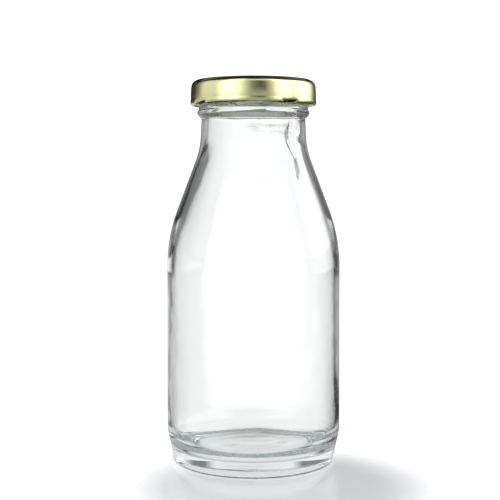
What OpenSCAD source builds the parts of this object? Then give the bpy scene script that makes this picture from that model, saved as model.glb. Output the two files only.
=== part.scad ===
// Glass milk bottle, closed with a four-lug twist-off cap.
// Lengths are in millimetres. +Z runs up the bottle's axis, and the origin is at the
// middle of the ring that the bottle stands on.

/* [Glass body] */
// Diameter of the straight side
body_d = 63.4; // [56:0.1:77]
// Height of the glass, from the ring it stands on to its rim
glass_h = 137.6; // [110:0.1:170]
// Radius of the curve from the straight side into the shoulder
shoulder_r = 59; // [40:1:65]
// Half angle of the shoulder's cone, in degrees
shoulder_angle = 20.6; // [18:0.1:24]
// Distance from the underside of the bead down to where the neck meets the shoulder
neck_len = 11.3; // [10:0.1:18]
// How far the neck leans in as it goes up, in degrees
neck_draft = 3.2; // [1:0.1:5]
// Radius of the curve from the shoulder into the neck
neck_curve_r = 28; // [12:1:34]

/* [Heel and base] */
// Height at which the straight side would meet the heel's slope
heel_h = 11.2; // [8:0.1:13]
// Lean of the heel from the upright, in degrees
heel_angle = 13; // [8:1:20]
// Radius of the curve from the straight side into the heel
heel_r = 20; // [6:1:28]
// Radius of the edge between the heel and the ring it stands on
foot_r = 1; // [0.5:0.1:2]
// Width of the flat ring that the bottle stands on
foot_w = 2.6; // [1.6:0.1:4]
// Height of the hollow under the base
hollow_h = 1.8; // [0.8:0.1:3]

/* [Glass thickness] */
// Thickness of the side wall
side_wall = 2.1; // [1.6:0.1:3]
// Thickness of the shoulder's cone
shoulder_wall = 3.5; // [2.6:0.1:4.2]
// Thickness of the base in its middle
base_wall = 3.6; // [2.5:0.1:6]
// Radius inside the bottle, where the side meets the base
inner_heel_r = 9; // [5:0.5:12]

/* [Finish] */
// Diameter of the glass between the threads
finish_d = 39.9; // [33:0.1:46]
// Thickness of the glass at the rim
finish_wall = 3.95; // [3:0.05:4.6]
// Height from the top of the bead to the rim
finish_h = 9.7; // [9.6:0.1:12]
// How far the threads stand out
thread_out = 1.15; // [0.95:0.05:1.4]
// Width of a thread along its crest
thread_crest_w = 0.8; // [0.6:0.05:1]
// Slope of a thread's sides, in degrees
thread_side_angle = 27.5; // [20:0.5:30]
// Number of threads, and of lugs on the cap
thread_starts = 4; // [4]
// Rise of a thread in one full turn
thread_lead = 12.7; // [12:0.1:15.5]
// How far the middle of each thread lies below the rim
thread_drop = 6.24; // [6:0.02:6.6]
// Angle that each thread covers, in degrees
thread_span = 80; // [60:1:84]
// How far the bead under the threads stands out
bead_out = 0.55; // [0.3:0.05:1.2]
// Height of the bead
bead_h = 3.1; // [2:0.1:4]
// How much smaller than the finish the neck is under the bead, across the radius
neck_in = 0.95; // [0.4:0.05:1.5]

/* [Cap] */
// Thickness of the cap's tinplate
metal_t = 0.2; // [0.18:0.01:0.3]
// Room between the thread's crest and the inside of the skirt
skirt_room = 1.6; // [1.5:0.05:2.2]
// Radius of the edge at the top of the skirt
crown_r = 2.8; // [1.6:0.1:3]
// How far the middle of the cap is sunk below its rim
panel_drop = 0.7; // [0.4:0.05:0.7]
// Width of the raised ring around the sunk middle
crown_w = 6.6; // [6:0.1:7.2]
// Height of the curl along the cap's lower edge
curl_h = 2; // [1.6:0.1:2.4]
// How far the curl stands out past the skirt
curl_out = 0.1; // [0:0.05:0.4]
// Room between the thread's crest and the inside of the curl
curl_room = 0.4; // [0.3:0.05:0.7]
// Room between the tip of a lug and the glass behind the threads
lug_room = 0.5; // [0.3:0.05:0.7]
// Room between the top of a lug and the thread above it
lug_play = 0.14; // [0.1:0.01:0.2]
// Room between the bottom of a lug and the thread below it
lug_under = 0.36; // [0.2:0.02:0.5]
// Angle that each lug covers, in degrees
lug_span = 16; // [12:1:20]
// Gap between a lug and the curl on each side of it, in degrees
lug_gap = 1.2; // [0.8:0.1:2]
// Angle from the middle of a thread to the lug under it, in degrees
lug_offset = 9; // [0:1:20]

/* [Seal] */
// Thickness of the sealing ring
gasket_t = 0.9; // [0.6:0.05:1.2]
// Room left above and below the sealing ring
gasket_room = 0.05; // [0.03:0.01:0.1]
// Room left between the sealing ring's sides and the cap
gasket_side_room = 0.1; // [0.05:0.01:0.3]

/* [Hidden] */
$fn = 96;

arc_steps = 8;          // straight steps in each rounded corner of an outline
glass_tint = [0.80, 0.88, 0.85, 0.35];
cap_gold = [0.90, 0.78, 0.30];
seal_white = [0.93, 0.92, 0.87];

// Finish, measured down from the rim
body_r = body_d / 2;
finish_r = finish_d / 2;
bore_r = finish_r - finish_wall;
thread_r = finish_r + thread_out;
bead_r = finish_r + bead_out;
neck_top_r = finish_r - neck_in;
bead_top_z = glass_h - finish_h;
bead_low_z = bead_top_z - bead_h;
rim_r = 1.2;
bead_edge_r = 0.9;

// Neck and shoulder
neck_low_z = bead_low_z - neck_len;
neck_low_r = neck_top_r + neck_len * tan(neck_draft);
shoulder_low_z = neck_low_z - (body_r - neck_low_r) / tan(shoulder_angle);

// Inside of the bottle
inner_r = body_r - side_wall;
cone_inset = shoulder_wall / cos(shoulder_angle);
bore_low_z = neck_low_z - (bore_r - neck_low_r + cone_inset) / tan(shoulder_angle);
inner_shoulder_z = neck_low_z - (inner_r - neck_low_r + cone_inset) / tan(shoulder_angle);
inner_shoulder_r = shoulder_r - side_wall;
inner_neck_curve_r = neck_curve_r - shoulder_wall / 2;

// Base
foot_out_r = body_r - heel_h * tan(heel_angle);
foot_in_r = foot_out_r - foot_r - foot_w;
hollow_r = 5;
floor_z = hollow_h + base_wall;
floor_flat_r = body_r / 3;
floor_fall = 0.9;
floor_bend_r = 4 * inner_heel_r;

// Threads: each is a segment of a ring, leaned to follow the helix
thread_first_angle = -64.8;
lean_share = 0.96;      // lean that keeps a flat ring closest to the helix over its whole span
thread_step = 360 / thread_starts;
thread_root_w = thread_crest_w + 2 * thread_out * tan(thread_side_angle);
thread_sunk = 0.45;
thread_lean = atan(lean_share * thread_lead / (2 * PI * thread_r));
thread_mid_z = glass_h - thread_drop;

// Lugs: each runs in the channel between two threads
lug_tip_r = finish_r + lug_room;
thread_side_in = (thread_r - lug_tip_r) * tan(thread_side_angle);
thread_half_w = thread_crest_w / 2 + thread_side_in;
lug_t = thread_lead / thread_starts - 2 * thread_half_w - lug_play - lug_under;
lug_top_z = thread_mid_z + thread_lead * lug_offset / 360 - thread_half_w - lug_play;
lug_lean = atan(thread_lead / (2 * PI * lug_tip_r));
lug_notch_span = lug_span + 2 * lug_gap;
lug_nose_r = 0.48 * lug_t;
lug_skirt_lap = 0.75 * lug_t;

// Cap, seated on the sealing ring
cap_in_r = thread_r + skirt_room;
cap_r = cap_in_r + metal_t;
curl_r = cap_r + curl_out;
curl_in_r = thread_r + curl_room;
curl_low_z = lug_top_z - lug_t - metal_t / 2;
curl_top_z = curl_low_z + curl_h;
curl_slope_h = 0.35;
skirt_low_z = lug_top_z - lug_skirt_lap;
cap_top_z = glass_h + gasket_t + 2 * gasket_room + metal_t;
panel_z = cap_top_z - panel_drop;
panel_r = cap_r - crown_w;
panel_rise_w = 0.5;
panel_edge_r = 0.45;
curl_bend_r = (curl_r - curl_in_r - metal_t) / 2;

// Sealing ring, between the rim and the raised ring of the cap
gasket_edge_r = 0.2;
gasket_shoulder_r = 0.6;
gasket_in_r = panel_r + panel_rise_w + metal_t + gasket_side_room;
gasket_out_r = cap_r - crown_r + gasket_shoulder_r + metal_t;
gasket_low_z = glass_h + gasket_room;

// Points of an arc of radius r that rounds corner p, coming from a and going to b
function bend(a, p, b, r) =
    let (u = (a - p) / norm(a - p),
         v = (b - p) / norm(b - p),
         half = acos(u * v) / 2,
         middle = p + (u + v) / norm(u + v) * r / sin(half),
         start = p + u * r / tan(half) - middle,
         side = sign(cross(-u, v)),
         turn = side * (180 - 2 * half))
    [for (i = [0 : arc_steps])
        let (w = turn * i / arc_steps)
        middle + [start.x * cos(w) - start.y * sin(w), start.x * sin(w) + start.y * cos(w)]];

// Outline through corners [x, z, radius], where radius 0 leaves the corner sharp
function rounded(c) = [
    for (i = [0 : len(c) - 1])
        let (p = [c[i][0], c[i][1]],
             a = c[(i + len(c) - 1) % len(c)],
             b = c[(i + 1) % len(c)])
        each c[i][2] == 0 ? [p] : bend([a[0], a[1]], p, [b[0], b[1]], c[i][2])
];

// Unit vector to the right of the path at its point i
function right_of(path, i) =
    let (d = path[min(i + 1, len(path) - 1)] - path[max(i - 1, 0)])
    [d.y, -d.x] / norm(d);

// Section of a sheet of thickness t, with the path on its outer face
function sheet(path, t) = concat(
    path,
    [for (i = [len(path) - 1 : -1 : 0]) path[i] + right_of(path, i) * t]
);

// Body of revolution of the glass: base, heel, side, shoulder, neck, bead and bore
module glass_section() {
    polygon(rounded([
        [0, hollow_h, 0],
        [foot_in_r - hollow_r, hollow_h, hollow_r],
        [foot_in_r, 0, foot_r / 2],
        [foot_out_r, 0, foot_r],
        [body_r, heel_h, heel_r],
        [body_r, shoulder_low_z, shoulder_r],
        [neck_low_r, neck_low_z, neck_curve_r],
        [neck_top_r, bead_low_z, bead_edge_r],
        [bead_r, bead_low_z + (bead_h / 2 - bead_edge_r / 4), bead_edge_r],
        [bead_r, bead_top_z - bead_edge_r / 2, bead_edge_r / 2],
        [finish_r, bead_top_z, bead_edge_r / 4],
        [finish_r, glass_h, rim_r],
        [bore_r, glass_h, rim_r],
        [bore_r, bore_low_z, inner_neck_curve_r],
        [inner_r, inner_shoulder_z, inner_shoulder_r],
        [inner_r, floor_z - floor_fall, inner_heel_r],
        [floor_flat_r, floor_z, floor_bend_r],
        [0, floor_z, 0]
    ]));
}

// Section of a thread, with its root sunk into the glass
module thread_section() {
    root_half = thread_root_w / 2 + thread_sunk * tan(thread_side_angle);
    polygon([
        [finish_r - thread_sunk, -root_half],
        [thread_r, -thread_crest_w / 2],
        [thread_r, thread_crest_w / 2],
        [finish_r - thread_sunk, root_half]
    ]);
}

// Rounded end of a thread
module thread_end() {
    root_half = thread_root_w / 2 + thread_sunk * tan(thread_side_angle);
    translate([finish_r - thread_sunk, 0, 0])
        rotate([0, 90, 0])
            cylinder(h = thread_out + thread_sunk, r1 = root_half, r2 = thread_crest_w / 2);
}

// One thread, with its middle in the +X direction
module thread() {
    translate([0, 0, thread_mid_z])
        rotate([thread_lean, 0, 0]) {
            rotate([0, 0, -thread_span / 2])
                rotate_extrude(angle = thread_span)
                    thread_section();
            for (end = [-1, 1])
                rotate([0, 0, end * thread_span / 2])
                    thread_end();
        }
}

// The bottle, one piece of glass
module glass_bottle() {
    color(glass_tint) {
        rotate_extrude()
            glass_section();
        for (i = [0 : thread_starts - 1])
            rotate([0, 0, thread_first_angle + i * thread_step])
                thread();
    }
}

// Ring of soft compound that the cap presses on the rim
module sealing_gasket() {
    color(seal_white)
        rotate_extrude()
            polygon(rounded([
                [gasket_in_r, gasket_low_z, gasket_edge_r],
                [gasket_out_r, gasket_low_z, gasket_edge_r],
                [gasket_out_r, gasket_low_z + gasket_t, gasket_shoulder_r],
                [gasket_in_r, gasket_low_z + gasket_t, gasket_edge_r]
            ]));
}

// Section of the cap: sunk middle, raised ring and skirt
module cap_section() {
    polygon(sheet(rounded([
        [0, panel_z, 0],
        [panel_r, panel_z, panel_edge_r],
        [panel_r + panel_rise_w, cap_top_z, panel_edge_r],
        [cap_r, cap_top_z, crown_r],
        [cap_r, skirt_low_z, 0]
    ]), metal_t));
}

// Section of the curl, rolled inwards from the skirt's lower edge
module curl_section() {
    polygon(sheet(rounded([
        [cap_r - metal_t / 4, curl_top_z, 0],
        [curl_r, curl_top_z - curl_slope_h, 2 * metal_t],
        [curl_r, curl_low_z, curl_bend_r],
        [curl_in_r, curl_low_z, curl_bend_r],
        [curl_in_r, curl_top_z - metal_t, curl_bend_r],
        [cap_in_r - metal_t, curl_top_z - metal_t, 0]
    ]), metal_t));
}

// Stretch of curl between two lugs
module curl() {
    rotate([0, 0, lug_notch_span / 2])
        rotate_extrude(angle = thread_step - lug_notch_span)
            curl_section();
}

// One lug, pressed in from the curl, with its middle in the +X direction
module lug() {
    translate([0, 0, lug_top_z - lug_t / 2])
        rotate([lug_lean, 0, 0])
            rotate([0, 0, -lug_span / 2])
                rotate_extrude(angle = lug_span)
                    polygon(rounded([
                        [cap_r - metal_t / 2, -lug_t / 2, 0],
                        [cap_r - metal_t / 2, lug_t / 2, 0],
                        [lug_tip_r, lug_t / 2, lug_nose_r],
                        [lug_tip_r, -lug_t / 2, lug_nose_r]
                    ]));
}

// The cap, one piece of lacquered tinplate
module cap_shell() {
    color(cap_gold) {
        rotate_extrude()
            cap_section();
        for (i = [0 : thread_starts - 1])
            rotate([0, 0, thread_first_angle + lug_offset + i * thread_step]) {
                lug();
                curl();
            }
    }
}

glass_bottle();
sealing_gasket();
cap_shell();
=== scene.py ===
import math

import bpy
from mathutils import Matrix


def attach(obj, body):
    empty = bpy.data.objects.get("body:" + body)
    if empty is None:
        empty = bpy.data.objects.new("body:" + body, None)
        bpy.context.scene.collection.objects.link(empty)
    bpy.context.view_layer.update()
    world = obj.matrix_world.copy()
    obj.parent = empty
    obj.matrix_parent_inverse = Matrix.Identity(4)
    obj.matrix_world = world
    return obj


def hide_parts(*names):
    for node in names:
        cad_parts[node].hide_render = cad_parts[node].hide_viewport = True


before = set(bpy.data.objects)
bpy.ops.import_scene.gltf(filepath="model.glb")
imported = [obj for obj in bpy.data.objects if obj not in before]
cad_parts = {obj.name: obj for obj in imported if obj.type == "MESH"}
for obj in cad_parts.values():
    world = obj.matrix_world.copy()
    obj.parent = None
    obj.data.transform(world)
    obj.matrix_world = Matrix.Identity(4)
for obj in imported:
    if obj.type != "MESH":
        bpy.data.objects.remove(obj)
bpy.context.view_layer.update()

scene = bpy.context.scene
scene.view_settings.view_transform = "Standard"
MM = 0.001


# Camera: it stands level with the bottle's shoulder and looks a little down at its
# straight side, as a product camera on a tripod would.
eye_height = 103.8 * MM
eye_distance = 398.4 * MM
eye_aside = -1.1 * MM
eye_down = math.radians(2.0)
camera_data = bpy.data.cameras.new("camera")
camera_data.lens = 78.12
camera_data.shift_x = -0.0008
camera_data.shift_y = -0.0718
camera_data.clip_start = 0.01
camera = bpy.data.objects.new("camera", camera_data)
camera.location = (eye_aside, -eye_distance, eye_height)
camera.rotation_euler = (math.radians(90) - eye_down, 0, 0)
scene.collection.objects.link(camera)
scene.camera = camera


# The bottle: one piece of blown soda-lime glass, a little green where it is thick.
# It is turned from the outline of its wall, then four leaning threads are raised on its
# finish, the inside is left slightly wavy, and the ring it stands on is stippled.
body_r = 31.68
foot_out_r = 29.11
foot_in_r = 25.51
hollow_h = 1.8
floor_z = 5.4
heel_h = 11.2
shoulder_low_z = 81.4
neck_low_r, neck_low_z = 19.63, 113.5
neck_top_r = 19.0
bead_r, bead_low_z, bead_top_z = 20.5, 124.8, 127.9
finish_r, glass_h = 19.95, 137.6
bore_r = 16.0
inner_r = 29.6
shoulder_wall = 3.5
shoulder_angle = math.radians(20.6)
cone_inset = shoulder_wall / math.cos(shoulder_angle)
cone_slope = math.tan(shoulder_angle)
bore_low_z = neck_low_z - (bore_r - neck_low_r + cone_inset) / cone_slope
inner_shoulder_z = neck_low_z - (inner_r - neck_low_r + cone_inset) / cone_slope
thread_out = 1.15
thread_crest_w = 0.8
thread_root_w = 2.0
thread_lead = 12.7
thread_mid_z = 131.36
thread_first = -64.8
thread_span = 80.0
thread_starts = 4.0


def bend(a, p, b, r, steps):
    """Points of the arc of radius r that rounds the corner p between a and b."""
    ua, ub = math.hypot(a[0] - p[0], a[1] - p[1]), math.hypot(b[0] - p[0], b[1] - p[1])
    u = ((a[0] - p[0]) / ua, (a[1] - p[1]) / ua)
    v = ((b[0] - p[0]) / ub, (b[1] - p[1]) / ub)
    half = math.acos(max(-1, min(1, u[0] * v[0] + u[1] * v[1]))) / 2
    w = (u[0] + v[0], u[1] + v[1])
    k = r / math.sin(half) / math.hypot(*w)
    middle = (p[0] + w[0] * k, p[1] + w[1] * k)
    start = (p[0] + u[0] * r / math.tan(half) - middle[0],
             p[1] + u[1] * r / math.tan(half) - middle[1])
    turn = math.copysign(math.pi - 2 * half, u[1] * v[0] - u[0] * v[1])
    points = []
    for i in range(steps + 1):
        c, s = math.cos(turn * i / steps), math.sin(turn * i / steps)
        points.append((middle[0] + start[0] * c - start[1] * s,
                       middle[1] + start[0] * s + start[1] * c))
    return points


def outline(corners):
    """Points through corners (radius, height, bend radius, steps in bend, steps to next)."""
    points = []
    for i, (r, z, round_r, steps, after) in enumerate(corners):
        before = corners[max(i - 1, 0)]
        following = corners[min(i + 1, len(corners) - 1)]
        arc = bend(before, (r, z), following, round_r, steps) if round_r else [(r, z)]
        if points:
            (r0, z0), (r1, z1) = points[-1], arc[0]
            n = corners[i - 1][4]
            points += [(r0 + (r1 - r0) * k / n, z0 + (z1 - z0) * k / n) for k in range(1, n)]
        points += arc
    return points


def outline_mesh(name, points):
    """A string of joined points in the XZ plane, in metres, that a turned piece starts from."""
    mesh = bpy.data.meshes.new(name)
    mesh.from_pydata([(r * MM, 0, z * MM) for r, z in points],
                     [(i, i + 1) for i in range(len(points) - 1)], [])
    piece = bpy.data.objects.new(name, mesh)
    scene.collection.objects.link(piece)
    return piece


def add(tree, kind, inputs=None, **settings):
    """A new node: settings are its own properties, inputs are values or sockets to join."""
    node = tree.nodes.new(kind)
    for name, value in settings.items():
        setattr(node, name, value)
    for name, value in (inputs or {}).items():
        if isinstance(value, bpy.types.NodeSocket):
            tree.links.new(value, node.inputs[name])
        else:
            node.inputs[name].default_value = value
    return node


def maths(tree, operation, *values):
    return add(tree, "ShaderNodeMath", dict(enumerate(values)), operation=operation).outputs[0]


def fade(tree, value, low, high, from_value=0.0, to_value=1.0):
    """A smooth change from one value to another as the input goes from low to high."""
    node = add(tree, "ShaderNodeMapRange", {
        "Value": value, "From Min": low, "From Max": high,
        "To Min": from_value, "To Max": to_value}, interpolation_type="SMOOTHSTEP")
    return node.outputs["Result"]


def tinted(tree, value, first, last, low=0.0, high=1.0):
    """A colour that goes from the first to the last as the value goes from low to high."""
    tone = add(tree, "ShaderNodeValToRGB", {"Fac": value})
    for element, stop, colour in zip(tone.color_ramp.elements, (low, high), (first, last)):
        element.position = stop
        element.color = (*colour, 1)
    return tone.outputs[0]


def geometry_tree(name, **inputs):
    """A Geometry Nodes tree with a geometry in and out, and named inputs with their values."""
    tree = bpy.data.node_groups.new(name, "GeometryNodeTree")
    tree.interface.new_socket("Geometry", in_out="INPUT", socket_type="NodeSocketGeometry")
    tree.interface.new_socket("Geometry", in_out="OUTPUT", socket_type="NodeSocketGeometry")
    kinds = {int: "NodeSocketInt", float: "NodeSocketFloat",
             bpy.types.Material: "NodeSocketMaterial"}
    for label, value in inputs.items():
        socket = tree.interface.new_socket(label.replace("_", " "), in_out="INPUT",
                                           socket_type=kinds[type(value)])
        socket.default_value = value
    return tree, tree.nodes.new("NodeGroupInput").outputs, tree.nodes.new("NodeGroupOutput")


# Turns an outline once round the Z axis: the columns of a grid go round, and its rows take
# the radius and height of the outline's points.
turned = bpy.data.node_groups.new("turned outline", "GeometryNodeTree")
turned.interface.new_socket("Outline", in_out="INPUT", socket_type="NodeSocketGeometry")
turned.interface.new_socket("Steps Round", in_out="INPUT", socket_type="NodeSocketInt")
turned.interface.new_socket("Sheet", in_out="OUTPUT", socket_type="NodeSocketGeometry")
for label in ("Radius", "Height", "Angle", "Row"):
    turned.interface.new_socket(label, in_out="OUTPUT", socket_type="NodeSocketFloat")
turned_in = turned.nodes.new("NodeGroupInput").outputs
turned_out = turned.nodes.new("NodeGroupOutput").inputs
rows = add(turned, "GeometryNodeAttributeDomainSize", {"Geometry": turned_in["Outline"]},
           component="MESH").outputs["Point Count"]
columns = maths(turned, "ADD", turned_in["Steps Round"], 1.0)
grid = add(turned, "GeometryNodeMeshGrid", {"Vertices X": columns, "Vertices Y": rows})
index = turned.nodes.new("GeometryNodeInputIndex").outputs[0]
row = maths(turned, "MODULO", index, rows)
column = maths(turned, "FLOOR", maths(turned, "DIVIDE", maths(turned, "ADD", index, 0.5), rows))
position = turned.nodes.new("GeometryNodeInputPosition").outputs[0]
sample = add(turned, "GeometryNodeSampleIndex", {
    "Geometry": turned_in["Outline"], "Value": position, "Index": row},
    data_type="FLOAT_VECTOR", domain="POINT")
place = add(turned, "ShaderNodeSeparateXYZ", {"Vector": sample.outputs["Value"]})
angle = maths(turned, "DIVIDE", maths(turned, "MULTIPLY", column, 2 * math.pi),
              turned_in["Steps Round"])
turned.links.new(grid.outputs["Mesh"], turned_out["Sheet"])
for label, value in (("Radius", place.outputs["X"]), ("Height", place.outputs["Z"]),
                     ("Angle", angle), ("Row", row)):
    turned.links.new(value, turned_out[label])


def turn_outline(tree, given):
    """Sheet, radius, height, angle and row of the tree's own outline, turned round the axis."""
    ring = add(tree, "GeometryNodeGroup", node_tree=turned)
    tree.links.new(given["Geometry"], ring.inputs["Outline"])
    tree.links.new(given["Steps Round"], ring.inputs["Steps Round"])
    return [ring.outputs[name] for name in ("Sheet", "Radius", "Height", "Angle", "Row")]


merge_gap = 1e-6


def close_turned(tree, sheet, radius, height, angle, material, out):
    """Places the sheet's points round the axis, joins seam and poles, and sets the material."""
    place = add(tree, "ShaderNodeCombineXYZ", {
        "X": maths(tree, "MULTIPLY", radius, maths(tree, "COSINE", angle)),
        "Y": maths(tree, "MULTIPLY", radius, maths(tree, "SINE", angle)), "Z": height})
    step = add(tree, "GeometryNodeSetPosition", {"Geometry": sheet, "Position": place.outputs[0]})
    step = add(tree, "GeometryNodeMergeByDistance", {
        "Geometry": step.outputs[0], "Distance": merge_gap})
    step = add(tree, "GeometryNodeSetShadeSmooth", {"Geometry": step.outputs[0]})
    step = add(tree, "GeometryNodeRealizeInstances", {"Geometry": step.outputs[0]})
    step = add(tree, "GeometryNodeSetMaterial", {
        "Geometry": step.outputs[0], "Material": material})
    tree.links.new(step.outputs[0], out.inputs[0])
    return step.outputs[0]


def grow(piece, tree, **values):
    """Runs the tree on the piece and keeps the result as its plain mesh."""
    modifier = piece.modifiers.new("grow", "NODES")
    modifier.node_group = tree
    sockets = {s.name: s.identifier for s in tree.interface.items_tree if s.in_out == "INPUT"}
    for label, value in values.items():
        modifier[sockets[label.replace("_", " ")]] = value
    evaluated = piece.evaluated_get(bpy.context.evaluated_depsgraph_get())
    mesh = bpy.data.meshes.new_from_object(evaluated)
    piece.modifiers.clear()
    piece.data = mesh
    return piece


def material(name):
    """A material with nodes, its Principled shader, and the piece's own coordinates."""
    made = bpy.data.materials.new(name)
    made.use_nodes = True
    tree = made.node_tree
    at = add(tree, "ShaderNodeTexCoord").outputs["Object"]
    return made, tree, tree.nodes["Principled BSDF"], at


glass_material, tree, shader, at = material("clear_glass")
part = add(tree, "ShaderNodeSeparateXYZ", {"Vector": at})

# Grey chill marks left by the mould, in one patch of the neck just under the bead
chill_at = add(tree, "ShaderNodeMapping", {"Vector": at, "Scale": (1.0, 1.0, 5.0)})
chill = add(tree, "ShaderNodeTexNoise", {"Vector": chill_at.outputs[0], "Scale": 150.0,
                                         "Detail": 1.5})
chill = fade(tree, chill.outputs[0], 0.40, 0.66)
chill_patch = (("Z", 0.1180, 0.1195, 0.0, 1.0), ("Z", 0.1215, 0.1230, 1.0, 0.0),
               ("X", -0.0050, 0.0010, 0.0, 1.0), ("X", 0.0120, 0.0150, 1.0, 0.0),
               ("Y", -0.0040, 0.0, 1.0, 0.0))
for axis, *limits in chill_patch:
    chill = maths(tree, "MULTIPLY", chill, fade(tree, part.outputs[axis], *limits))
clear_colour, chill_colour = (0.975, 0.985, 0.98), (0.60, 0.63, 0.65)
tree.links.new(tinted(tree, chill, clear_colour, chill_colour), shader.inputs["Base Color"])
shader.inputs["Roughness"].default_value = 0.0
shader.inputs["IOR"].default_value = 1.52
shader.inputs["Transmission Weight"].default_value = 1.0

# The faint line where the halves of the mould met, and the ripple of a blown surface
seam_half_w = 0.00035
ripple = add(tree, "ShaderNodeTexNoise", {"Vector": at, "Scale": 90.0, "Detail": 1.0})
seam = fade(tree, maths(tree, "ABSOLUTE", part.outputs["Y"]), 0.0, seam_half_w, 1.0, 0.0)
seam_bump = add(tree, "ShaderNodeBump", {"Height": seam, "Strength": 0.15, "Distance": 0.0001})
bump = add(tree, "ShaderNodeBump", {"Height": ripple.outputs[0], "Strength": 0.3,
                                    "Distance": 0.0003, "Normal": seam_bump.outputs[0]})
tree.links.new(bump.outputs[0], shader.inputs["Normal"])

# Green tint in the depth of the glass. Light that has glinted inside it four times passes
# straight out, so thick parts stay clear. So does the light that reaches the floor.
glints_kept = 3.5
tint = add(tree, "ShaderNodeVolumeAbsorption", {"Color": (0.62, 0.74, 0.70, 1), "Density": 7.0})
surface = tree.nodes["Material Output"]
tree.links.new(tint.outputs[0], surface.inputs["Volume"])
rays = add(tree, "ShaderNodeLightPath")
soft = maths(tree, "MAXIMUM", rays.outputs["Is Shadow Ray"], rays.outputs["Is Diffuse Ray"])
spent = maths(tree, "GREATER_THAN", rays.outputs["Glossy Depth"], glints_kept)
soft = maths(tree, "MAXIMUM", soft, spent)
clear = add(tree, "ShaderNodeBsdfTransparent", {"Color": (0.98, 0.985, 0.985, 1)})
lit = add(tree, "ShaderNodeMixShader", {0: soft, 1: shader.outputs[0], 2: clear.outputs[0]})
tree.links.new(lit.outputs[0], surface.inputs["Surface"])

stipple_material, tree, shader, at = material("stippled_foot")
shader.inputs["Specular IOR Level"].default_value = 0.0
frost = add(tree, "ShaderNodeTexNoise", {"Vector": at, "Scale": 900.0, "Detail": 2.0})
frost_dark, frost_pale = (0.24, 0.27, 0.27), (0.58, 0.62, 0.63)
tree.links.new(tinted(tree, frost.outputs[0], frost_dark, frost_pale, 0.35, 0.65),
               shader.inputs["Base Color"])
tree.links.new(fade(tree, frost.outputs[0], 0.3, 0.7, 0.35, 0.6), shader.inputs["Roughness"])
bump = add(tree, "ShaderNodeBump", {"Height": frost.outputs[0], "Strength": 0.5,
                                    "Distance": 0.0002})
tree.links.new(bump.outputs[0], shader.inputs["Normal"])

glass = outline_mesh("bottle_glass", outline([
    (0, hollow_h, 0, 0, 6),
    (foot_in_r - 5, hollow_h, 5, 4, 2),
    (foot_in_r, 0, 0.5, 3, 4),
    (foot_out_r, 0, 1, 6, 4),
    (body_r, heel_h, 20, 8, 18),
    (body_r, shoulder_low_z, 59, 16, 6),
    (neck_low_r, neck_low_z, 28, 12, 5),
    (neck_top_r, bead_low_z, 0.9, 5, 1),
    (bead_r, bead_low_z + 1.325, 0.9, 6, 1),
    (bead_r, bead_top_z - 0.45, 0.45, 5, 1),
    (finish_r, bead_top_z, 0.225, 3, 28),
    (finish_r, glass_h, 1.2, 6, 1),
    (bore_r, glass_h, 1.2, 6, 12),
    (bore_r, bore_low_z, 26.25, 12, 8),
    (inner_r, inner_shoulder_z, 56.9, 18, 24),
    (inner_r, floor_z - 0.9, 9, 10, 2),
    (body_r / 3, floor_z, 36, 6, 4),
    (0, floor_z, 0, 0, 0)]))

glass_sizes = dict(
    Steps_Round=384, First_Thread=thread_first, Thread_Starts=thread_starts,
    Thread_Lead=thread_lead * MM, Thread_Height=thread_mid_z * MM, Thread_Span=thread_span,
    Thread_Out=thread_out * MM, Crest_Width=thread_crest_w * MM, Root_Width=thread_root_w * MM,
    Inside_Wave=0.00035, Inside_Shift=0.0002, Outside_Wave=0.00004, Wave_Seed=1.0,
    Streak_Angle=321.0, Streak_Width=0.0026, Streak_Depth=0.0010,
    Settle_Angle=296.0, Settle_Height=0.1207, Settle_Depth=0.0007, Stipple_Depth=0.0002,
    Material=glass_material, Foot_Material=stipple_material)
tree, given, out = geometry_tree("bottle glass", **glass_sizes)
sheet, radius, height, angle, row = turn_outline(tree, given)

# Threads: one leaning ridge for each start, rounded in section and at its ends
pitch = maths(tree, "DIVIDE", 360.0, given["Thread Starts"])
half_pitch = maths(tree, "DIVIDE", pitch, 2.0)
degrees = maths(tree, "SUBTRACT", maths(tree, "DEGREES", angle), given["First Thread"])
local = maths(tree, "WRAP", degrees, half_pitch, maths(tree, "MULTIPLY", half_pitch, -1.0))
rise = maths(tree, "MULTIPLY", maths(tree, "DIVIDE", local, 360.0), given["Thread Lead"])
off_height = maths(tree, "SUBTRACT", height, maths(tree, "ADD", given["Thread Height"], rise))
past_end = maths(tree, "SUBTRACT", maths(tree, "ABSOLUTE", local),
                 maths(tree, "DIVIDE", given["Thread Span"], 2.0))
past_end = maths(tree, "RADIANS", maths(tree, "MAXIMUM", past_end, 0.0))
past_end = maths(tree, "MULTIPLY", past_end, radius)
off = maths(tree, "SQRT", maths(tree, "ADD", maths(tree, "MULTIPLY", off_height, off_height),
                                maths(tree, "MULTIPLY", past_end, past_end)))
ridge = fade(tree, off, maths(tree, "MULTIPLY", given["Crest Width"], 0.35),
             maths(tree, "MULTIPLY", given["Root Width"], 0.58), 1.0, 0.0)
outside = fade(tree, radius, 0.0185, 0.0195)
on_finish = maths(tree, "MULTIPLY", outside, fade(tree, height, 0.1278, 0.1284))
thread = maths(tree, "MULTIPLY", maths(tree, "MULTIPLY", ridge, on_finish), given["Thread Out"])

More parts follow.
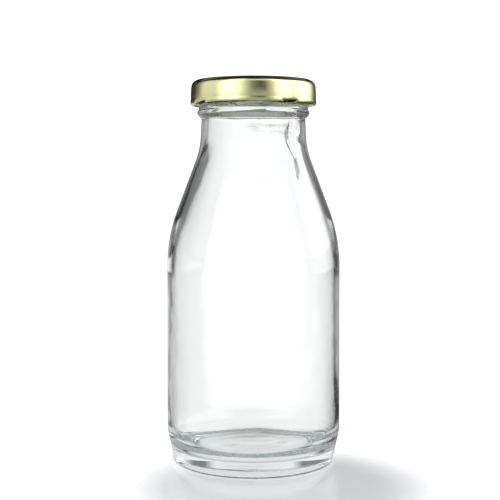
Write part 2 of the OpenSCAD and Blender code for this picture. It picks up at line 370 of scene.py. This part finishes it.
# Waves: slow ones in the wall's inside, with the hollow a little off its middle, and
# slight ones outside, both calm near the rim and the floor
around = add(tree, "ShaderNodeCombineXYZ", {
    "X": maths(tree, "COSINE", angle), "Y": maths(tree, "SINE", angle),
    "Z": maths(tree, "MULTIPLY", height, 12.0)})
wave = add(tree, "ShaderNodeTexNoise", {
    "Vector": around.outputs[0], "W": given["Wave Seed"], "Scale": 1.6, "Detail": 1.0},
    noise_dimensions="4D").outputs[0]
rim_row = float(max(range(len(glass.data.vertices)), key=lambda i: glass.data.vertices[i].co.z))
inside = maths(tree, "GREATER_THAN", row, rim_row)
below_rim = fade(tree, height, 0.118, 0.134, 1.0, 0.0)
above_floor = fade(tree, height, 0.007, 0.016)
calm = maths(tree, "MULTIPLY", below_rim, above_floor)
shift = maths(tree, "MULTIPLY", maths(tree, "COSINE", angle), given["Inside Shift"])
wave_in = maths(tree, "MULTIPLY", maths(tree, "SUBTRACT", wave, 0.5),
                maths(tree, "MULTIPLY", given["Inside Wave"], 2.0))
wave_in = maths(tree, "MULTIPLY", maths(tree, "ADD", wave_in, shift), inside)
wave_out = maths(tree, "MULTIPLY", maths(tree, "SUBTRACT", wave, 1.0), given["Outside Wave"])
wave_out = maths(tree, "MULTIPLY", wave_out, maths(tree, "SUBTRACT", 1.0, inside))
wave = maths(tree, "MULTIPLY", maths(tree, "ADD", wave_in, wave_out), calm)

# Streak: a winding ridge down the inside of the neck
drift = add(tree, "ShaderNodeTexNoise", {
    "W": maths(tree, "MULTIPLY", height, 70.0), "Scale": 1.0, "Detail": 2.0},
    noise_dimensions="1D")
drift = fade(tree, drift.outputs[0], 0.2, 0.8, -6.0, 6.0)
streak_off = maths(tree, "SUBTRACT", maths(tree, "DEGREES", angle), given["Streak Angle"])
streak_off = maths(tree, "SUBTRACT", streak_off, drift)
streak_off = maths(tree, "ABSOLUTE", maths(tree, "WRAP", streak_off, 180.0, -180.0))
streak_off = maths(tree, "MULTIPLY", maths(tree, "RADIANS", streak_off), radius)
streak = maths(tree, "MULTIPLY", fade(tree, streak_off, 0.0, given["Streak Width"], 1.0, 0.0),
               given["Streak Depth"])
in_neck = maths(tree, "MULTIPLY", fade(tree, height, 0.099, 0.108),
                fade(tree, height, 0.118, 0.124, 1.0, 0.0))
streak = maths(tree, "MULTIPLY", streak, maths(tree, "MULTIPLY", inside, in_neck))

# Settle: a patchy swelling round part of the inside, under the bead
settle_half_h = 0.0019
settle_off = maths(tree, "ABSOLUTE", maths(tree, "SUBTRACT", height, given["Settle Height"]))
settle = maths(tree, "MULTIPLY", fade(tree, settle_off, 0.0, settle_half_h, 1.0, 0.0),
               given["Settle Depth"])
patchy = add(tree, "ShaderNodeTexNoise", {
    "Vector": around.outputs[0], "W": given["Wave Seed"], "Scale": 3.6, "Detail": 3.0},
    noise_dimensions="4D")
settle = maths(tree, "MULTIPLY", settle, fade(tree, patchy.outputs[0], 0.38, 0.6, 0.15, 1.0))
settle_turn = maths(tree, "SUBTRACT", maths(tree, "DEGREES", angle), given["Settle Angle"])
settle_turn = maths(tree, "ABSOLUTE", maths(tree, "WRAP", settle_turn, 180.0, -180.0))
settle = maths(tree, "MULTIPLY", settle, fade(tree, settle_turn, 26.0, 48.0, 1.0, 0.0))
settle = maths(tree, "MULTIPLY", settle, inside)
wave = maths(tree, "SUBTRACT", wave, maths(tree, "ADD", streak, settle))

# Stipple: short bars across the ring that the bottle stands on, one to every 10 degrees
half_bars_per_degree = 0.2
bar = maths(tree, "MULTIPLY", maths(tree, "DEGREES", angle), half_bars_per_degree)
bar = maths(tree, "PINGPONG", bar, 1.0)
on_foot = maths(tree, "MULTIPLY", fade(tree, height, 0.0, 0.0006, 1.0, 0.0),
                fade(tree, radius, 0.0258, 0.0264))
on_foot = maths(tree, "MULTIPLY", on_foot, fade(tree, radius, 0.0276, 0.0282, 1.0, 0.0))
stipple = maths(tree, "MULTIPLY", maths(tree, "MULTIPLY", bar, on_foot), given["Stipple Depth"])
radius = maths(tree, "ADD", radius, maths(tree, "ADD", thread, wave))
height = maths(tree, "ADD", height, stipple)
wall = close_turned(tree, sheet, radius, height, angle, given["Material"], out)

# The lowest faces, on which the bottle stands, are frosted.
foot_top = 0.0003
position = tree.nodes.new("GeometryNodeInputPosition").outputs[0]
face_z = add(tree, "ShaderNodeSeparateXYZ", {"Vector": position}).outputs["Z"]
under = maths(tree, "LESS_THAN", face_z, foot_top)
foot = add(tree, "GeometryNodeSetMaterial", {"Geometry": wall, "Selection": under,
                                             "Material": given["Foot Material"]})
tree.links.new(foot.outputs[0], out.inputs[0])
grow(glass, tree, **glass_sizes)
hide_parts("glass_bottle")
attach(glass, "bottle")


# The sealing ring: soft off-white compound flowed into the cap's raised ring and cured
# there, so its skin is matt and faintly pebbled, with a groove where the rim presses.
seal_in_r, seal_out_r = 17.1, 20.9
seal_low_z, seal_t = 137.65, 0.9
rim_groove, rim_mid_r = 0.04, 18.0

seal_material, tree, shader, at = material("seal_compound")
mottle = add(tree, "ShaderNodeTexNoise", {"Vector": at, "Scale": 260.0, "Detail": 3.0})
seal_dark, seal_pale = (0.66, 0.63, 0.54), (0.80, 0.78, 0.70)
tree.links.new(tinted(tree, mottle.outputs[0], seal_dark, seal_pale),
               shader.inputs["Base Color"])
tree.links.new(fade(tree, mottle.outputs[0], 0.3, 0.7, 0.48, 0.66), shader.inputs["Roughness"])
pebble = add(tree, "ShaderNodeTexNoise", {"Vector": at, "Scale": 1800.0, "Detail": 2.0})
bump = add(tree, "ShaderNodeBump", {"Height": pebble.outputs[0], "Strength": 0.35,
                                    "Distance": 0.00008})
tree.links.new(bump.outputs[0], shader.inputs["Normal"])

seal_mid_r = (seal_in_r + seal_out_r) / 2
seal_top_z = seal_low_z + seal_t
seal = outline_mesh("seal_ring", outline([
    (seal_mid_r, seal_low_z, 0, 0, 6),
    (seal_out_r, seal_low_z, 0.2, 4, 2),
    (seal_out_r, seal_top_z, 0.6, 6, 6),
    (seal_in_r, seal_top_z, 0.2, 4, 3),
    (seal_in_r, seal_low_z, 0.2, 4, 6),
    (seal_mid_r, seal_low_z, 0, 0, 0)]))
seal_sizes = dict(Steps_Round=192, Groove=rim_groove * MM, Groove_Radius=rim_mid_r * MM,
                  Material=seal_material)
tree, given, out = geometry_tree("seal ring", **seal_sizes)
sheet, radius, height, angle, row = turn_outline(tree, given)
pressed_at = maths(tree, "ABSOLUTE", maths(tree, "SUBTRACT", radius, given["Groove Radius"]))
groove = fade(tree, pressed_at, 0.0002, 0.0011, 1.0, 0.0)
groove = maths(tree, "MULTIPLY", groove, fade(tree, height, 0.1377, 0.1379, 1.0, 0.0))
height = maths(tree, "ADD", height, maths(tree, "MULTIPLY", groove, given["Groove"]))
close_turned(tree, sheet, radius, height, angle, given["Material"], out)
grow(seal, tree, **seal_sizes)
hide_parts("sealing_gasket")
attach(seal, "seal")


# The cap: tinplate 0.2 mm thick, drawn to a shallow cup, its edge rolled into a curl and
# pressed in at four places to make the lugs. It's lacquered gold outside and on the curl,
# and coated light grey inside.
sheet_t = 0.2
cap_r = 22.9
cap_top_z = 138.8
panel_z, panel_r = 138.1, 16.3
curl_r, curl_in_r = 23.0, 21.5
curl_low_z, curl_top_z = 129.501, 131.501
lug_tip_r, lug_t, lug_top_z = 20.45, 1.198, 130.799
lug_span, lug_gap = 16.0, 1.2
lug_past_thread = 9
lug_mid = thread_first + lug_past_thread
lug_lean = math.degrees(math.atan(thread_lead / (2 * math.pi * lug_tip_r)))

cap_material, tree, shader, at = material("gold_tinplate")
part = add(tree, "ShaderNodeSeparateXYZ", {"Vector": at})
out_r = maths(tree, "ADD", maths(tree, "MULTIPLY", part.outputs["X"], part.outputs["X"]),
              maths(tree, "MULTIPLY", part.outputs["Y"], part.outputs["Y"]))
out_r = maths(tree, "SQRT", out_r)

# The top panel is a little duller than the drawn skirt.
satin = maths(tree, "MULTIPLY", fade(tree, out_r, 0.0190, 0.0200, 1.0, 0.0),
              fade(tree, part.outputs["Z"], 0.1375, 0.1378))
tree.links.new(maths(tree, "SUBTRACT", 1.0, maths(tree, "MULTIPLY", satin, 0.3)),
               shader.inputs["Metallic"])
haze = add(tree, "ShaderNodeTexNoise", {"Vector": at, "Scale": 120.0, "Detail": 3.0})
gold_dark, gold_pale = (0.79, 0.78, 0.41), (0.85, 0.86, 0.48)
tree.links.new(tinted(tree, haze.outputs[0], gold_dark, gold_pale, 0.3, 0.7),
               shader.inputs["Base Color"])
grain_at = add(tree, "ShaderNodeMapping", {"Vector": at, "Scale": (1.0, 14.0, 1.0)})
grain = add(tree, "ShaderNodeTexNoise", {"Vector": grain_at.outputs[0], "Scale": 900.0,
                                         "Detail": 4.0})
rough = maths(tree, "ADD", fade(tree, haze.outputs[0], 0.3, 0.7, 0.11, 0.16),
              fade(tree, grain.outputs[0], 0.35, 0.75, 0.0, 0.05))
rough = maths(tree, "ADD", rough, maths(tree, "MULTIPLY", satin, 0.12))
tree.links.new(rough, shader.inputs["Roughness"])
peel = add(tree, "ShaderNodeTexNoise", {"Vector": at, "Scale": 700.0, "Detail": 1.0})
bump = add(tree, "ShaderNodeBump", {"Height": peel.outputs[0], "Strength": 0.12,
                                    "Distance": 0.00006})
tree.links.new(bump.outputs[0], shader.inputs["Normal"])

coat_material, tree, shader, at = material("inside_coat")
speck = add(tree, "ShaderNodeTexNoise", {"Vector": at, "Scale": 420.0, "Detail": 3.0})
coat_dark, coat_pale = (0.40, 0.42, 0.42), (0.54, 0.56, 0.55)
tree.links.new(tinted(tree, speck.outputs[0], coat_dark, coat_pale),
               shader.inputs["Base Color"])
tree.links.new(fade(tree, speck.outputs[0], 0.35, 0.65, 0.28, 0.4), shader.inputs["Roughness"])
bump = add(tree, "ShaderNodeBump", {"Height": speck.outputs[0], "Strength": 0.15,
                                    "Distance": 0.00005})
tree.links.new(bump.outputs[0], shader.inputs["Normal"])


def both_faces(path, t):
    """The outline of a sheet: along its outer face, round its cut edge and back inside."""
    back = []
    for i in range(len(path)):
        (r0, z0), (r1, z1) = path[max(i - 1, 0)], path[min(i + 1, len(path) - 1)]
        long = math.hypot(r1 - r0, z1 - z0)
        back.append((path[i][0] + (z1 - z0) / long * t, path[i][1] - (r1 - r0) / long * t))
    return path + back[::-1]


cup = [(0, panel_z, 0, 0, 10), (panel_r, panel_z, 0.45, 4, 1),
       (panel_r + 0.5, cap_top_z, 0.45, 4, 4), (cap_r - 0.32, cap_top_z, 2.8, 12, 1),
       (cap_r, 133.9, 55, 8, 2)]
curl_path = both_faces(outline(cup + [
    (cap_r, curl_top_z, 0.3, 3, 1),
    (curl_r, curl_top_z - 0.4, 0.3, 3, 2),
    (curl_r, curl_low_z, 0.7, 9, 1),
    (curl_in_r, curl_low_z, 0.7, 9, 1),
    (curl_in_r, curl_top_z - sheet_t, 0.6, 7, 1),
    (cap_r - 2 * sheet_t - 0.05, curl_top_z - sheet_t, 0, 0, 0)]), sheet_t)
lug_low_z = lug_top_z - lug_t
lug_path = both_faces(outline(cup + [
    (cap_r, curl_top_z - 0.6, 0.3, 3, 1),
    (cap_r - 0.25, curl_top_z - 1.2, 0.25, 3, 2),
    (cap_r - 1.3, lug_low_z, 0.3, 9, 1),
    (lug_tip_r, lug_low_z, 0.5, 9, 1),
    (lug_tip_r, lug_top_z, 0.5, 7, 1),
    (cap_r - 1.3, lug_top_z, 0, 0, 0)]), sheet_t)

cap = outline_mesh("cap_tinplate", curl_path)
pressed = cap.data.attributes.new("pressed", "FLOAT_VECTOR", "POINT")
for i, (r, z) in enumerate(lug_path):
    pressed.data[i].vector = (r * MM, 0, z * MM)
cap_sizes = dict(
    Steps_Round=480, Lugs=thread_starts, Lug_Middle=lug_mid, Lug_Span=lug_span, Lug_Gap=lug_gap,
    Lug_Lean=lug_lean, Lug_Height=(lug_top_z - lug_t / 2) * MM,
    Outer_Rows=len(curl_path) // 2, Material=cap_material, Coat=coat_material)
tree, given, out = geometry_tree("lug cap", **cap_sizes)
sheet, radius, height, angle, row = turn_outline(tree, given)

# Lugs: near each one the curl's outline is pressed to the lug's, then leant with the threads
lug_shape = add(tree, "GeometryNodeInputNamedAttribute", {"Name": "pressed"},
                data_type="FLOAT_VECTOR")
lug_shape = add(tree, "GeometryNodeSampleIndex", {
    "Geometry": given["Geometry"], "Value": lug_shape.outputs[0], "Index": row},
    data_type="FLOAT_VECTOR", domain="POINT")
lug_shape = add(tree, "ShaderNodeSeparateXYZ", {"Vector": lug_shape.outputs["Value"]})
half_pitch = maths(tree, "DIVIDE", 180.0, given["Lugs"])
degrees = maths(tree, "SUBTRACT", maths(tree, "DEGREES", angle), given["Lug Middle"])
local = maths(tree, "WRAP", degrees, half_pitch, maths(tree, "MULTIPLY", half_pitch, -1.0))
half_span = maths(tree, "DIVIDE", given["Lug Span"], 2.0)
press = fade(tree, maths(tree, "ABSOLUTE", local), maths(tree, "MULTIPLY", half_span, 0.5),
             maths(tree, "ADD", half_span, given["Lug Gap"]), 1.0, 0.0)
inward = maths(tree, "SUBTRACT", lug_shape.outputs["X"], radius)
radius = maths(tree, "ADD", radius, maths(tree, "MULTIPLY", press, inward))
upward = maths(tree, "SUBTRACT", lug_shape.outputs["Z"], height)
level = maths(tree, "ADD", height, maths(tree, "MULTIPLY", press, upward))
lean = maths(tree, "MULTIPLY", maths(tree, "SINE", maths(tree, "RADIANS", local)),
             maths(tree, "TANGENT", maths(tree, "RADIANS", given["Lug Lean"])))
lean = maths(tree, "MULTIPLY", maths(tree, "MULTIPLY", lean, radius), press)
lean = maths(tree, "MULTIPLY", lean, fade(tree, level, given["Lug Height"], 0.1325, 1.0, 0.0))

# Coat: on the rows of the sheet's inner face, above the curl
inside = maths(tree, "GREATER_THAN", row, maths(tree, "SUBTRACT", given["Outer Rows"], 0.5))
coated = maths(tree, "MULTIPLY", inside, fade(tree, height, 0.1316, 0.1318))
kept = add(tree, "GeometryNodeCaptureAttribute", {"Geometry": sheet}, domain="POINT")
kept.capture_items.new("FLOAT", "coated")
tree.links.new(coated, kept.inputs["coated"])
gold = close_turned(tree, kept.outputs["Geometry"], radius, maths(tree, "ADD", level, lean),
                    angle, given["Material"], out)
coat = add(tree, "GeometryNodeSetMaterial", {
    "Geometry": gold, "Selection": kept.outputs["coated"], "Material": given["Coat"]})
tree.links.new(coat.outputs[0], out.inputs[0])
grow(cap, tree, **cap_sizes)
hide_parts("cap_shell")
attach(cap, "cap")


# The floor: smooth pale board with a faint gloss, which fades out into the backdrop. It's
# paler right under the bottle, to stand in for light that the glass gathers there.
floor_near, floor_far = 0.030, 0.064
floor_half = 0.35
floor_middle = (0.010, -0.038, -0.00005)
gathered_in_r, gathered_out_r = 0.0275, 0.0325
floor_mesh = bpy.data.meshes.new("floor")
floor_mesh.from_pydata([(-floor_half, -floor_half, 0), (floor_half, -floor_half, 0),
                        (floor_half, floor_half, 0), (-floor_half, floor_half, 0)],
                       [], [(0, 1, 2, 3)])
floor = bpy.data.objects.new("floor", floor_mesh)
scene.collection.objects.link(floor)
floor.location = floor_middle
floor_material, tree, shader, at = material("floor_board")
shader.inputs["Roughness"].default_value = 0.08
shader.inputs["Specular IOR Level"].default_value = 0.35
away = add(tree, "ShaderNodeVectorMath", {0: at}, operation="LENGTH").outputs["Value"]
from_axis = add(tree, "ShaderNodeVectorMath", {
    0: at, 1: (-floor.location.x, -floor.location.y, 0)}, operation="DISTANCE").outputs["Value"]
gathered = fade(tree, from_axis, gathered_in_r, gathered_out_r, 1.0, 0.0)
there = maths(tree, "MAXIMUM", fade(tree, away, floor_near, floor_far, 1.0, 0.0), gathered)
tree.links.new(there, shader.inputs["Alpha"])
board_colour, gathered_colour = (0.645, 0.652, 0.678), (0.86, 0.87, 0.88)
tree.links.new(tinted(tree, gathered, board_colour, gathered_colour),
               shader.inputs["Base Color"])
floor_mesh.materials.append(floor_material)


# Light: a bright backdrop all round, and for what shows only as a reflection a darker room
# with softboxes. Turn is the direction round the bottle in degrees, 0 at the camera's side
# and positive to its right. Up is the direction above the level.
room = bpy.data.worlds.new("room")
scene.world = room
room.use_nodes = True
room.cycles.sampling_method = "NONE"
tree = room.node_tree
tree.nodes.clear()
way = add(tree, "ShaderNodeTexCoord").outputs["Generated"]
way = add(tree, "ShaderNodeSeparateXYZ", {"Vector": way})
turn = maths(tree, "ARCTAN2", way.outputs["X"], maths(tree, "MULTIPLY", way.outputs["Y"], -1.0))
turn = maths(tree, "DEGREES", turn)
up = maths(tree, "DEGREES", maths(tree, "ARCSINE", way.outputs["Z"]))
either_side = maths(tree, "ABSOLUTE", turn)


def stepped(tree, value, low, high, stops):
    """A value read from (place, level) stops between the low and high ends of its range."""
    share = add(tree, "ShaderNodeMapRange", {"Value": value, "From Min": low, "From Max": high})
    ramp = add(tree, "ShaderNodeValToRGB", {"Fac": share.outputs["Result"]})
    while len(ramp.color_ramp.elements) < len(stops):
        ramp.color_ramp.elements.new(0.5)
    for element, (stop, level) in zip(ramp.color_ramp.elements, stops):
        element.position = (stop - low) / (high - low)
    for element, (stop, level) in zip(ramp.color_ramp.elements, stops):
        element.color = (level, level, level, 1)
    return ramp.outputs[0]


# Above the level: softboxes to the left and right with dark gaps in front and behind, a
# faint low strip in front, and a strip higher up. The ceiling over them is dark, and comes
# lower towards the back.
high_boxes = stepped(tree, turn, -180, 180, [
    (-180, 0.01), (-134, 0.02), (-118, 0.13), (-104, 0.36), (-72, 0.36), (-56, 0.8),
    (-35, 0.8), (-20, 0.42), (-3, 0.11), (13, 0.034), (21, 0.065), (36, 0.34), (52, 0.9),
    (66, 0.9), (78, 0.5), (88, 0.9), (112, 0.9), (144, 0.06), (180, 0.01)])
front_strip = maths(tree, "MULTIPLY", fade(tree, up, 5.5, 9.0, 0.2, 0.0),
                    fade(tree, either_side, 60.0, 110.0, 1.0, 0.0))
high_boxes = maths(tree, "MAXIMUM", high_boxes, front_strip)
over = maths(tree, "MULTIPLY", fade(tree, up, 40.0, 44.0), fade(tree, up, 64.0, 74.0, 1.0, 0.0))
over = maths(tree, "MULTIPLY", over, 0.35)
drop = maths(tree, "MAXIMUM", maths(tree, "SUBTRACT", either_side, 40.0), 0.0)
drop = maths(tree, "MULTIPLY", drop, 0.4)
top = fade(tree, maths(tree, "ADD", up, drop), 60.0, 72.0, 2.4, 0.06)
high_boxes = maths(tree, "MULTIPLY", maths(tree, "MAXIMUM", high_boxes, over), top)

# Below the level: duller walls, which behind the bottle change with height, in one way on
# its left and in another on its right
low_walls = stepped(tree, turn, -180, 180, [
    (-180, 0.7), (-163, 0.85), (-147, 0.75), (-130, 0.6), (-112, 0.6), (-95, 0.7), (-80, 0.4),
    (80, 0.4), (95, 0.6), (115, 0.35), (130, 0.2), (147, 0.28), (163, 0.5), (180, 0.6)])
left_back = stepped(tree, up, -20, 20, [
    (-20, 0.7), (-11.7, 0.75), (-6.6, 1.0), (-2.4, 0.6), (2, 0.2), (10, 0.1)])
left_back = maths(tree, "MAXIMUM", left_back, fade(tree, turn, -146.0, -120.0))
right_back = stepped(tree, up, -20, 20, [
    (-20, 0.2), (-11.7, 0.11), (-6.6, 1.0), (-2.4, 0.6), (2, 0.05), (10, 0.05)])
right_back = maths(tree, "MAXIMUM", right_back, fade(tree, turn, 100.0, 125.0, 1.0, 0.0))
low_walls = maths(tree, "MULTIPLY", low_walls, fade(tree, up, -36.0, -20.0, 0.04, 1.0))
low_walls = maths(tree, "MULTIPLY", low_walls, left_back)
low_walls = maths(tree, "MULTIPLY", low_walls, right_back)
rise = fade(tree, up, 2.8, 4.2)
studio = maths(tree, "ADD", maths(tree, "MULTIPLY", high_boxes, rise),
               maths(tree, "MULTIPLY", low_walls, maths(tree, "SUBTRACT", 1.0, rise)))

# Behind the bottle, only for light that comes through the glass: a bright band and corners
behind = fade(tree, either_side, 152.0, 162.0)
band = maths(tree, "MULTIPLY", fade(tree, up, 8.0, 10.0), fade(tree, up, 22.0, 28.0, 0.9, 0.5))
band = maths(tree, "MULTIPLY", band, fade(tree, up, 46.0, 56.0, 1.0, 0.0))
corners = stepped(tree, turn, -180, 180, [
    (-162, 0.0), (-152, 0.16), (-128, 0.16), (-116, 0.0),
    (118, 0.0), (128, 0.06), (152, 0.06), (162, 0.0)])
corners = maths(tree, "MULTIPLY", corners, fade(tree, up, 8.5, 10.5))
corners = maths(tree, "MULTIPLY", corners, fade(tree, up, 16.0, 24.0, 1.0, 0.0))
rays = add(tree, "ShaderNodeLightPath")
through = maths(tree, "GREATER_THAN", rays.outputs["Transmission Depth"], 0.5)
band = maths(tree, "MULTIPLY", maths(tree, "ADD", corners, maths(tree, "MULTIPLY", band, behind)),
             through)
studio = maths(tree, "ADD", studio, band)

# High behind the bottle, for the cap's top when it's seen from above
far_over = maths(tree, "MULTIPLY", fade(tree, up, 29.0, 33.0),
                 fade(tree, up, 44.0, 52.0, 0.14, 0.0))
far_over = maths(tree, "MULTIPLY", far_over, fade(tree, either_side, 125.0, 140.0))
studio = maths(tree, "ADD", studio, far_over)

# Backdrop: its full level, and a little less for what is seen through the glass away from
# its brightest place, straight behind and just below the level
full_level, dim_level = 1.25, 1.03
aside = maths(tree, "SUBTRACT", 180.0, either_side)
lower = maths(tree, "MULTIPLY", maths(tree, "ADD", up, 5.5), 0.6)
aside = maths(tree, "SQRT", maths(tree, "ADD", maths(tree, "MULTIPLY", aside, aside),
                                  maths(tree, "MULTIPLY", lower, lower)))
backdrop = fade(tree, aside, 4.0, 7.5, full_level, dim_level)
dimming = maths(tree, "MULTIPLY", through, maths(tree, "SUBTRACT", backdrop, full_level))
backdrop = maths(tree, "ADD", full_level, dimming)
seen = maths(tree, "MAXIMUM", maths(tree, "LESS_THAN", rays.outputs["Glossy Depth"], 0.5),
             rays.outputs["Is Diffuse Ray"])
studio = maths(tree, "ADD", maths(tree, "MULTIPLY", studio, maths(tree, "SUBTRACT", 1.0, seen)),
               maths(tree, "MULTIPLY", seen, backdrop))
light = add(tree, "ShaderNodeBackground", {"Color": (1, 1, 1, 1), "Strength": studio})
tree.links.new(light.outputs[0], add(tree, "ShaderNodeOutputWorld").inputs["Surface"])
